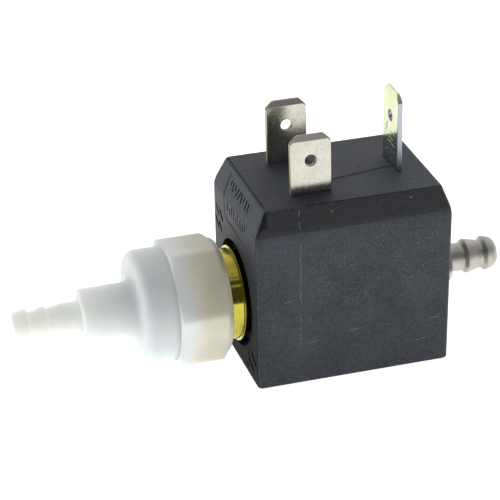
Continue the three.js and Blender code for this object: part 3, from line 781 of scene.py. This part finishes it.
def zincFinish(look):
    material, place = startFinish("passivated blade")
    _, y, z = split(place)
    up = z - (high("terminal_earth").z - tabSet["earthDrop"])
    nx, ny, _ = faceNormal(place)
    broad = abs(nx).step(0.7, 0.9)
    cut = abs(ny).step(0.6, 0.9)
    cloud = place.noise(0.35, 3, 0.55, shift=1.0)
    grain = place.noise(2.6, 4, 0.6, shift=3.0)
    streaks = place.noise(1.0, 3, 0.6, (1, 5, 0.4), 4.0)
    scratch = place.noise(1.0, 1, 0.5, (1, 0.5, 6), 6.0).step(0.7, 0.74) * up.band(-6.85, -0.85, 1.2) * 0.4
    for start, end in look["scratches"]:
        scratch = scratch.most(y.stroke(up, start, end, 0.03, 0.06))
    scratch = scratch * broad
    colour = (cloud * 0.6 + streaks * 0.4).step(0.34, 0.66).mix(look["dull"], look["bright"])
    # painted reflection of the slate block: the lower part of the broad faces is painted a darker blue-grey
    colour = (broad * up.step(-2.25, -6.45)).mix(colour, look["low"])
    colour = cut.mix(colour, look["cut"])
    rim = (y * y + up * up).power(0.5).step(tabSet["hole"] + 0.07, tabSet["hole"] - 0.01)
    colour = (rim * 0.8).mix(colour, look["pink"])
    normal = (grain * 0.6 + streaks * 0.3 + scratch * 5.0).bump(0.01)
    rough = look["rough"] + grain * 0.1 + scratch * 0.45 + cut * 0.25
    endFinish(place, colour, rough, normal, {"Metallic": 1.0})
    return material


# A blade standing at the origin, broad side along X: its outline is drawn in at each level through the
# thickness, so that the edges are soft, and both faces are trimmed to taper at the tip.
def bladeMesh(length, drop, values):
    half, corner = values["width"] / 2, values["corner"]
    edge, thick = values["edge"], values["thick"] / 2
    outline = rounded([(-half, 0, 0), (half, 0, 0), (half, length - corner, 0.2),
                       (half - corner, length, 0.2), (-half + corner, length, 0.2),
                       (-half, length - corner, 0.2)])
    rings = []
    for y, inset in ((-thick, edge), (-thick + edge * 0.3, edge * 0.3), (-thick + edge, 0),
                     (thick - edge, 0), (thick - edge * 0.3, edge * 0.3), (thick, edge)):
        shrink = 1 - inset / half
        rings.append([(x * shrink, y, z - (inset if z > length / 2 else 0)) for x, z in outline])
    blade = skin("blade", rings, False)
    start = length - values["taper"]
    slope = (thick - values["tipThick"] / 2) / values["taper"]
    trims = []
    for side in (-1, 1):
        wedge = [(thick, start), (thick - slope * (values["taper"] + 1), length + 1),
                 (thick + 2, length + 1), (thick + 2, start - 1), (thick + 0.02, start - 0.05)]
        ends = [[(x, side * y, z) for y, z in wedge] for x in (-half - 1, half + 1)]
        trims.append(skin("trim", ends, False))
    rim, hole = values["holeRim"], values["hole"]
    facets = [2 * math.pi * i / 64 for i in range(64)]
    rings = [[(r * math.cos(a), y, length - drop + r * math.sin(a)) for a in facets]
             for y, r in ((-thick - 0.5, hole + rim + 0.5), (-thick + rim, hole), (thick - rim, hole),
                          (thick + 0.5, hole + rim + 0.5))]
    return carve(blade, [*trims, skin("hole", rings, False)])


# Where the blades start, and a little higher, where their roots reach into them.
def bladeStart(values):
    start = high("coil_housing").z + values["bladeGap"]
    return start, start + values["rootReach"]


def makeLineTab(name, node, values, finish):
    a, b = low(node), high(node)
    start, rootTop = bladeStart(values)
    middle, root = (a.x + b.x) / 2, lineRoot(node)
    half, rootHalf = values["width"] / 2, values["rootThick"] / 2
    lean = math.radians(values["lean"])
    length = (b.z - start - values["tipThick"] / 2 * math.sin(lean)) / math.cos(lean)
    blade = bladeMesh(length, values["lineDrop"], values)
    blade.transform(Matrix.Translation(Vector((middle, root, start)) * mm) @ Matrix.Rotation(-lean, 4, "X"))
    across, through = (middle - half, middle + half), (root - rootHalf, root + rootHalf)
    foot = boxMesh("root", across, through, (a.z, rootTop))
    show(name, carve(blade, [foot], "UNION"), finish, [node])


def makeEarthTab(values, finish):
    a, b = low("terminal_earth"), high("terminal_earth")
    start, rootTop = bladeStart(values)
    x, y = b.x - values["thick"] / 2, (a.y + b.y) / 2
    rootHalf = values["rootThick"] / 2
    blade = bladeMesh(b.z - start, values["earthDrop"], values)
    quarter = Matrix.Rotation(math.pi / 2, 4, "Z")
    blade.transform(Matrix.Translation(Vector((x, y, start)) * mm) @ quarter)
    root = boxMesh("root", (x - rootHalf, x + rootHalf), (a.y, b.y), (a.z, rootTop))
    foot = boxMesh("foot", (a.x, x), (a.y + 0.01, b.y - 0.01), (a.z - 0.01, a.z - 0.01 + values["thick"]))
    centre = (low("earth_rivet").x + high("earth_rivet").x) / 2
    facets = [2 * math.pi * i / 48 for i in range(48)]
    rings = [[(centre + math.cos(t), y + math.sin(t), z) for t in facets] for z in (a.z - 1, a.z + 2)]
    whole = carve(carve(blade, [root, foot], "UNION"), [skin("hole", rings, False)])
    show("earthBlade", whole, finish, ["terminal_earth"])


def makeTabs(values):
    tin = tinFinish(tinLook)
    makeLineTab("lineBlade", "terminal_line", values, tin)
    makeLineTab("neutralBlade", "terminal_neutral", values, tin)
    makeEarthTab(values, zincFinish(zincLook))


# ---- plastic inlet and hexagonal coupling

inletSet = {                # places are measured from the CAD's tip
    "reach": 0.3,           # how far the soft nose stands out past it
    "barbs": (2.15, 4.9),   # the steep face of each barb
    "foot": 1.98,
    "peak": 2.5,
    "nose": 2.02,
    "neckStart": 7.5,
    "neck": 2.5,
    "barrelStart": 9.95,
    "barrel": 4.175,
    "chamberStart": 18.15,
    "fillet": 1.35,
    "shoulder": 1.56,
    "spigot": 6.2,
    "groove": (24.6, 26.1),
    "grooveFloor": 5.05,
    "bore": 1.1,
    "barrelBore": 3.1,
    "barrelBoreStart": 11.0,
    "chamberBore": 4.6,
    "chamberBoreStart": 18.9,
}

inletLook = {
    "base": (0.77, 0.79, 0.79),
    "deep": (0.69, 0.72, 0.73),
    "warm": (0.77, 0.76, 0.7),
    # painted glow: emission colours that stand in for light let through the plastic
    "glow": (0.21, 0.212, 0.19),     # light let through by the thin barb end
    "glowWide": (0.06, 0.07, 0.074),
    "scatter": (1.0, 1.0, 1.0),
    "scatterReach": 3.0,
    "rough": 0.36,
}

hexSet = {                  # places are measured from the end that meets the inlet
    "flats": 17.5,
    "turn": 20.4,           # degrees that one corner leans from straight up to the front
    "softness": 28,         # larger is a sharper corner
    "startLimits": ((0, 9.6), (0.05, 9.9)),     # how far the corners are cut back at that end
    "bandEnd": 7.2,
    "bandLimit": 10.35,
    "coneEnd": 7.8,
    "coneRadii": (10.2, 8.85),
    "endRadius": 8.15,
    "inletSocket": 6.35,
    "sleeveSocket": 6.75,
    "web": (3.8, 4.8),
    "webBore": 2.65,
}

hexLook = {
    "base": (0.79, 0.77, 0.67),
    "deep": (0.7, 0.67, 0.56),
    "cool": (0.78, 0.8, 0.79),
    "dent": (0.5, 0.48, 0.42),
    # painted glow colours: emission standing in for light let through the plastic
    "glow": (0.03, 0.028, 0.012),
    "glowCool": (0.08, 0.085, 0.083),
    "scatter": (1.0, 0.95, 0.85),
    "scatterReach": 2.2,
    "rough": 0.42,
}


# A milky plastic that light goes into, with a weak painted glow, an emission that stands in for light let
# through where it is thin.
def endPlastic(place, look, colour, rough, normal, glow):
    endFinish(place, colour, rough, normal, {
        "Subsurface Weight": 1.0,
        "Subsurface Radius": look["scatter"],
        "Subsurface Scale": look["scatterReach"] * mm,
        "Emission Color": glow,
        "Emission Strength": 1.0,
        "Specular IOR Level": 0.45,
    })


def inletFinish(look):
    material, place = startFinish("milky inlet plastic")
    x, rings = aroundAxis(place)
    along = x - low("inlet_fitting").x
    cloud = place.noise(0.18, 3, 0.5)
    fine = place.noise(4.0, 3, 0.5, shift=4.0)
    lines = rings.noise(1.0, 2, 0.5, (6, 6, 1), 1.0)
    colour = cloud.step(0.3, 0.7).mix(look["deep"], look["base"])
    colour = along.step(11.5, 2.5).mix(colour, look["warm"])
    flow = (rings.noise(1.0, 2, 0.5, (2.5, 2.5, 1), 3.0) - 0.5) * 0.5 + 0.15
    colour = flow.most(0).mix(colour, look["deep"])
    # painted glow: the whole fitting emits a little, most at the thin barb end
    glow = along.step(18.5, 11.5).mix(look["glowWide"], look["glow"])
    normal = (fine * 0.4 + lines * 0.35 + cloud * 0.6).bump(0.02)
    endPlastic(place, look, colour, look["rough"] + fine * 0.1 + cloud * 0.08, normal, glow)
    return material


def hexFinish(look):
    material, place = startFinish("cream coupling plastic")
    along = split(place)[0] - low("hex_coupling").x
    cloud = place.noise(0.2, 3, 0.5, shift=2.0)
    fine = place.noise(3.2, 4, 0.55, shift=6.0)
    colour = cloud.step(0.3, 0.7).mix(look["deep"], look["base"])
    specks = place.noise(2.1, 1, 0.5, shift=9.0).step(0.72, 0.78)
    colour = along.step(4.2, 0.7).mix(colour, look["cool"])
    colour = (specks * 0.35).mix(colour, look["dent"])
    # painted glow: the coupling emits a little, cooler near the end that meets the inlet
    glow = along.step(5.2, 0.2).mix(look["glow"], look["glowCool"])
    normal = (fine * 0.5 + cloud * 0.8 - specks * 0.5).bump(0.025)
    endPlastic(place, look, colour, look["rough"] + fine * 0.12, normal, glow)
    return material


def makeInlet(v):
    tip, end = low("inlet_fitting").x, high("inlet_fitting").x
    wide = (high("inlet_fitting").z - low("inlet_fitting").z) / 2
    first, second = (tip + place for place in v["barbs"])
    neck, barrel, chamber = (tip + v[name] for name in ("neckStart", "barrelStart", "chamberStart"))
    flangeEnd = low("hex_coupling").x + 0.01
    groove, grooveEnd = (tip + place for place in v["groove"])
    barrelBore, chamberBore = tip + v["barrelBoreStart"], tip + v["chamberBoreStart"]
    points = [
        (tip - v["reach"], v["bore"], 0.12), (tip - v["reach"], v["nose"], 0.35),
        (first - 0.25, v["peak"], 0.18), (first, v["peak"] - 0.08, 0.08), (first + 0.22, v["foot"], 0.12),
        (second - 1.9, v["foot"], 0.3), (second - 0.3, v["peak"], 0.22), (second, v["peak"] - 0.06, 0.1),
        (second + 0.26, v["foot"] + 0.06, 0.14),
        (neck, v["neck"], 0.7), (barrel, v["neck"], 0.12),
        (barrel, v["barrel"], 0.3), (chamber, v["barrel"], v["fillet"]),
        (chamber, wide, v["shoulder"]), (flangeEnd, wide, 0.02), (flangeEnd, v["spigot"], 0.15),
        (groove, v["spigot"], 0.1), (groove, v["grooveFloor"], 0.1),
        (grooveEnd, v["grooveFloor"], 0.1), (grooveEnd, v["spigot"], 0.1),
        (end, v["spigot"], 0.3), (end, v["chamberBore"], 0.1),
        (chamberBore, v["chamberBore"], 0.1), (chamberBore, v["barrelBore"], 0.1),
        (barrelBore, v["barrelBore"], 0.2), (barrelBore, v["bore"], 0.1),
    ]
    mesh = turned("inlet", rounded(points, 7), 160)
    show("inletFitting", mesh, inletFinish(inletLook), ["inlet_fitting"])


# A hexagon's radius at an angle, no larger than a limit. A larger softness makes its corners sharper.
def hexRadius(v, limit):
    def radius(angle):
        total = limit ** -v["softness"]
        for i in range(6):
            near = math.cos(angle - math.radians(v["turn"] + 30 + 60 * i))
            total += (max(near, 0) * 2 / v["flats"]) ** v["softness"]
        return total ** (-1 / v["softness"])
    return radius


def makeHex(v):
    start, end = low("hex_coupling").x, high("hex_coupling").x
    whole = hexRadius(v, v["flats"])        # a limit that leaves the corners whole
    bandEnd, coneEnd = start + v["bandEnd"], start + v["coneEnd"]
    web, webEnd = (start + place for place in v["web"])
    wide, narrow = v["coneRadii"]
    stations = [(start + x, hexRadius(v, limit)) for x, limit in v["startLimits"]]
    stations += [(start + 0.2, whole), (bandEnd - 0.25, whole), (bandEnd, hexRadius(v, v["bandLimit"]))]
    for i in range(1, 13):
        t = i / 12
        stations.append((bandEnd + (coneEnd - bandEnd) * t, hexRadius(v, wide + (narrow - wide) * t)))
    for i in range(1, 9):
        a = math.radians(90 * i / 8)
        x = coneEnd + (end - coneEnd) * math.sin(a)
        stations.append((x, v["endRadius"] + (narrow - v["endRadius"]) * math.cos(a) - 0.06))
    stations += [
        (end, v["sleeveSocket"] + 0.1), (end - 0.1, v["sleeveSocket"]), (webEnd, v["sleeveSocket"]),
        (webEnd, v["webBore"]), (web, v["webBore"]), (web, v["inletSocket"]), (start, v["inletSocket"]),
    ]
    mesh = turned("hex", stations, 288)
    show("hexCoupling", mesh, hexFinish(hexLook), ["hex_coupling"], sharp=40)


# ---- brass sleeve, steel core and its fastenings

brassLook = {"bright": (0.54, 0.48, 0.08), "deep": (0.45, 0.39, 0.05), "rough": 0.06}
steelLook = {"bright": (0.6, 0.585, 0.53), "deep": (0.42, 0.41, 0.37), "rough": 0.4}


# Turned metal: fine rings left by the tool, and a little tarnish.
def turnedFinish(name, look, depth):
    material, place = startFinish(name)
    rings = aroundAxis(place)[1]
    tool = rings.noise(1.0, 3, 0.6, (16, 16, 1), 2.0)
    cloud = place.noise(0.7, 4, 0.6, shift=1.0)
    grain = place.noise(6.0, 2, 0.5, shift=5.0)
    spots = place.noise(2.3, 1, 0.5, shift=7.0).step(0.73, 0.77)
    deep = look["deep"]
    colour = (cloud * 0.7 + tool * 0.3).step(0.3, 0.7).mix(deep, look["bright"])
    colour = (spots * 0.5).mix(colour, tuple(c * 0.3 for c in deep))
    normal = (tool * 0.8 + grain * 0.4).bump(depth)
    rough = look["rough"] + tool * 0.08 + grain * 0.06 + spots * 0.2
    endFinish(place, colour, rough, normal, {"Metallic": 1.0})
    return material


sleeveSet = {               # places are measured from the mouth inside the coupling
    "neck": 6.6,
    "pitch": 0.75,
    "threadDepth": 0.4,
    "collarStart": 3.4,
    "collar": 6.88,
    "collarFront": 6.98,    # the collar widens a little towards its lip
    "lipStart": 5.28,
    "lip": 7.3,
    "collarEnd": 5.6,
    "shoulder": 6.4,
    "tube": 4.55,
    "bore": 3.95,
    "ringInner": 4.6,
    "ringOuter": 6.0,
    "ringDepth": 1.25,
}


def makeSleeve(v, finish):
    mouth, end = low("guide_sleeve").x, high("guide_sleeve").x
    seat = low("coil_housing").x + housingSet["recessDepth"] - 0.1
    ringFloor = mouth + v["ringDepth"]
    collar, lip, collarEnd = (mouth + v[name] for name in ("collarStart", "lipStart", "collarEnd"))
    points = [(mouth, v["bore"], 0), (mouth, v["ringInner"], 0), (ringFloor, v["ringInner"], 0),
              (ringFloor, v["ringOuter"], 0), (mouth, v["ringOuter"], 0), (mouth, v["neck"], 0.3)]
    x = mouth + 0.6
    while x < collar - v["pitch"]:      # the thread inside the coupling
        points += [(x, v["neck"], 0), (x + v["pitch"] / 2, v["neck"] - v["threadDepth"], 0)]
        x += v["pitch"]
    points += [
        (collar, v["neck"] - 0.2, 0), (collar, v["collar"], 0.12), (lip - 0.05, v["collarFront"], 0.04),
        (lip + 0.05, v["lip"], 0.06), (collarEnd, v["lip"], 0.09), (collarEnd, v["shoulder"], 0.1),
        (seat, v["shoulder"], 0.1), (seat, v["tube"], 0.1), (end, v["tube"], 0.1), (end, v["bore"], 0.1),
    ]
    show("guideSleeve", turned("sleeve", rounded(points), 160), finish, ["guide_sleeve"])


coreSet = {                 # places are measured from the face that the plunger meets
    "bore": 1.1,
    "shade": (2.5, 3.2, 1.0),       # the shading ring's groove: inner, outer, depth
    "radius": 3.88,
    "groove": (7.0, 8.5, 2.95),
    "shoulder": 10.2,
    "stem": 2.2,
    "barbs": (19.6, 22.72),
    "back": 0.46,           # length of each barb's back slope
    "peak": 2.71,
    "taperEnd": 21.95,
    "nose": 2.36,
    "noseStart": 24.15,
}


def makeCore(v, finish):
    face, tip = low("fixed_core").x, high("fixed_core").x
    inner, outer, depth = v["shade"]
    groove, grooveEnd, grooveFloor = v["groove"]
    body, stem = v["radius"], v["stem"]

    def barb(place):
        x = face + place
        return [(x - v["back"], stem, 0.1), (x, v["peak"] - 0.1, 0.1), (x + 0.14, v["peak"], 0.14)]

    first, second = v["barbs"]
    points = [
        (face, v["bore"], 0.1), (face, inner, 0.03), (face + depth, inner, 0), (face + depth, outer, 0),
        (face, outer, 0.03), (face, body, 0.2),
        (face + groove, body, 0.05), (face + groove, grooveFloor, 0.1),
        (face + grooveEnd, grooveFloor, 0.1), (face + grooveEnd, body, 0.05),
        (face + v["shoulder"], body, 0.15), (face + v["shoulder"], stem, 0.1),
        *barb(first), (face + v["taperEnd"], stem, 0.8), *barb(second),
        (face + v["noseStart"], v["nose"], 0.45), (tip, 1.75, 0.2), (tip, v["bore"], 0.15),
    ]
    mesh = turned("core", rounded(points, 6), 160)
    show("fixedCore", mesh, finish, ["fixed_core"])


nutSet = {
    "flats": 7.0,
    "trim": 0.25,           # how much shorter it is than the CAD's
    "turn": 95,
    "softness": 90,
    "bore": 2.32,
    "chamfer": 0.35,
    "washerBore": 2.5,
}


def makeNut(v, finish):
    start, end = low("locknut").x, high("locknut").x - v["trim"]
    corner, cut = v["flats"] / math.sqrt(3), v["chamfer"]
    shares = (0, 0.3, 0.6, 1)
    stations = [(start + cut * t * 0.6, hexRadius(v, corner - cut * (1 - t))) for t in shares]
    stations += [(end - cut * t * 0.6, hexRadius(v, corner - cut * (1 - t))) for t in reversed(shares)]
    bore = v["bore"]
    stations += [(end, bore + 0.2), (end - 0.2, bore), (start + 0.2, bore), (start, bore + 0.2)]
    show("lockNut", turned("nut", stations, 192), finish, ["locknut"])

    a, b = low("lock_washer").x, high("lock_washer").x
    outer = (high("lock_washer").z - low("lock_washer").z) / 2
    ring = [(a, v["washerBore"], 0.05), (a, outer, 0.08), (b, outer, 0.08), (b, v["washerBore"], 0.05)]
    show("lockWasher", turned("washer", rounded(ring)), finish, ["lock_washer"])


# ---- what lies inside

springSet = {"coil": 1.85, "wire": 0.2, "turns": 8, "length": 9.0, "gap": 0.1, "keep": 0.84, "sides": 14}


# A wound spring with closed ends, its turns drawn from the plunger's pocket to the core's face.
def makeSpring(v, finish):
    held = low("fixed_core").x - v["gap"]
    start = held - v["wire"] - v["length"]
    steps, sides = 40 * v["turns"], v["sides"]
    rings = []
    for i in range(steps + 1):
        t = i / steps
        turn = 2 * math.pi * v["turns"] * t
        pitch = min(1, max(0, (t - 0.1) / 0.8))
        x = start + v["length"] * (0.1 * t + 0.9 * pitch)
        out = Vector((0, math.cos(turn), math.sin(turn)))
        centre = Vector((x, 0, axisHeight)) + out * v["coil"]
        ring = []
        for k in range(sides):
            a = 2 * math.pi * k / sides
            ring.append(centre + out * v["wire"] * math.cos(a) + Vector((v["wire"] * math.sin(a), 0, 0)))
        rings.append(ring)
    mesh = skin("spring", rings, False)
    piece = show("returnSpring", mesh, finish, ["return_spring"], sharp=60)
    piece.modifiers.clear()
    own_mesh(piece)


# A finish for a piece inside the block: two tones in clouds, a grain and specks.
def innerFinish(name, look):
    material, place = startFinish(name)
    cloud = place.noise(0.5, 4, 0.6, shift=1.0)
    scale = look["scale"]
    grain = place.noise(scale, 3, 0.6, look.get("stretch", (1, 1, 1)), 3.0)
    specks = place.noise(scale * 1.6, 1, 0.5, shift=6.0).step(0.7, 0.77)
    colour = (cloud * 0.5 + grain * 0.5).step(0.34, 0.66).mix(look["deep"], look["bright"])
    colour = (specks * 0.4).mix(colour, tuple(c * 0.35 for c in look["deep"]))
    normal = (grain * 0.9 - specks * 0.4).bump(look["depth"])
    rough = look["rough"] + grain * 0.14 + specks * 0.1
    endFinish(place, colour, rough, normal, {"Metallic": look["metal"]})
    return material


innerLooks = {
    "phosphated frame": {
        "nodes": ("yoke_frame", "yoke_cap"),
        "bright": (0.4, 0.42, 0.45), "deep": (0.24, 0.25, 0.28),
        "scale": 2.4, "rough": 0.4, "metal": 0.9, "depth": 0.02,
    },
    "black moulding": {
        "nodes": ("bobbin", "terminal_carrier"),
        "bright": (0.035, 0.037, 0.042), "deep": (0.016, 0.017, 0.02),
        "scale": 3.0, "rough": 0.5, "metal": 0.0, "depth": 0.03,
    },
    "wound copper": {
        "nodes": ("winding", "lead_line", "lead_neutral", "shading_ring"),
        "bright": (0.75, 0.33, 0.13), "deep": (0.5, 0.18, 0.06),
        "scale": 1.0, "stretch": (9, 0.6, 0.6), "rough": 0.25, "metal": 0.9, "depth": 0.06,
    },
    "amber tape": {
        "nodes": ("winding_tape",),
        "bright": (0.74, 0.52, 0.1), "deep": (0.55, 0.36, 0.05),
        "scale": 1.2, "stretch": (3, 1, 1), "rough": 0.3, "metal": 0.0, "depth": 0.02,
    },
    "black rubber": {
        "nodes": ("sleeve_o_ring", "core_o_ring", "inlet_o_ring", "plunger_seal"),
        "bright": (0.03, 0.03, 0.032), "deep": (0.012, 0.012, 0.013),
        "scale": 5.0, "rough": 0.65, "metal": 0.0, "depth": 0.02,
    },
    "woven mesh": {
        "nodes": ("inlet_strainer",),
        "bright": (0.72, 0.75, 0.77), "deep": (0.4, 0.43, 0.46),
        "scale": 7.0, "rough": 0.4, "metal": 0.3, "depth": 0.04,
    },
}


def coat(node, finish):
    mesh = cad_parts[node].data
    mesh.materials.clear()
    mesh.materials.append(finish)


def finishInside(looks, steelFinish):
    for name, look in looks.items():
        finish = innerFinish(name, look)
        for node in look["nodes"]:
            coat(node, finish)
    for node in ("plunger", "valve_seat", "earth_rivet"):
        coat(node, steelFinish)


makeHousing(housingSet)
print("coil block made")
makeTabs(tabSet)
print("blade terminals made")
makeInlet(inletSet)
makeHex(hexSet)
print("plastic inlet and coupling made")
brass = turnedFinish("polished brass", brassLook, 0.004)
steel = turnedFinish("turned stainless", steelLook, 0.01)
makeSleeve(sleeveSet, brass)
makeCore(coreSet, steel)
makeNut(nutSet, steel)
print("metal flow pieces made")
makeSpring(springSet, steel)
finishInside(innerLooks, steel)
print("spring made and inner pieces finished")
